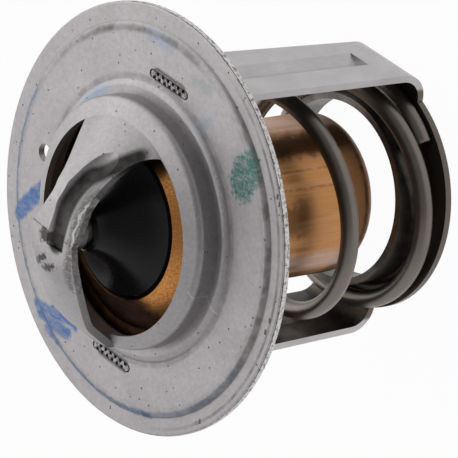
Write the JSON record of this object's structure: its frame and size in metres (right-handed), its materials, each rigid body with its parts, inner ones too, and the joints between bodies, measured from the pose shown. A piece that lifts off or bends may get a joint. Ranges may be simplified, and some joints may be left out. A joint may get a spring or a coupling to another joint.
{
  "type": "engine thermostat",
  "caption": "Coolant thermostat for an engine: round stamped flange with an arched bridge, copper valve, brass wax element, coil spring and strap cage.",
  "frame": {"origin": "on the axis of the flange, in the plane of the lower face of its outer rim", "axes": "+Z along the valve's axis towards the bridge, +Y through the wide foot of the bridge and one leg of the cage"},
  "size_m": [0.054, 0.054, 0.0511],
  "materials": {
    "flange_steel": "satin",
    "cage_steel": "satin",
    "spring_steel": "satin",
    "copper": "satin",
    "brass": "satin",
    "black_rubber": "gloss",
    "pin_steel": "polished",
    "disc_plastic": "matte",
    "seal_rubber": "matte",
    "wax": "matte"
  },
  "bodies": {
    "frame": {"flange": "flange_steel", "cage": "cage_steel", "spring": "spring_steel", "piston": "pin_steel", "backup_disc": "disc_plastic", "plug": "seal_rubber"},
    "valve": {"valve_plate": "copper", "capsule": "brass", "boot": "black_rubber", "guide": "brass", "diaphragm": "seal_rubber", "wax": "wax"}
  },
  "joints": [
    {"name": "valve_lift", "type": "slide", "parent": "frame", "child": "valve", "axis": [0, 0, -1], "range_m": [0, 0.008], "stiffness_N_per_m": 8000, "deforming": ["spring"]}
  ]
}
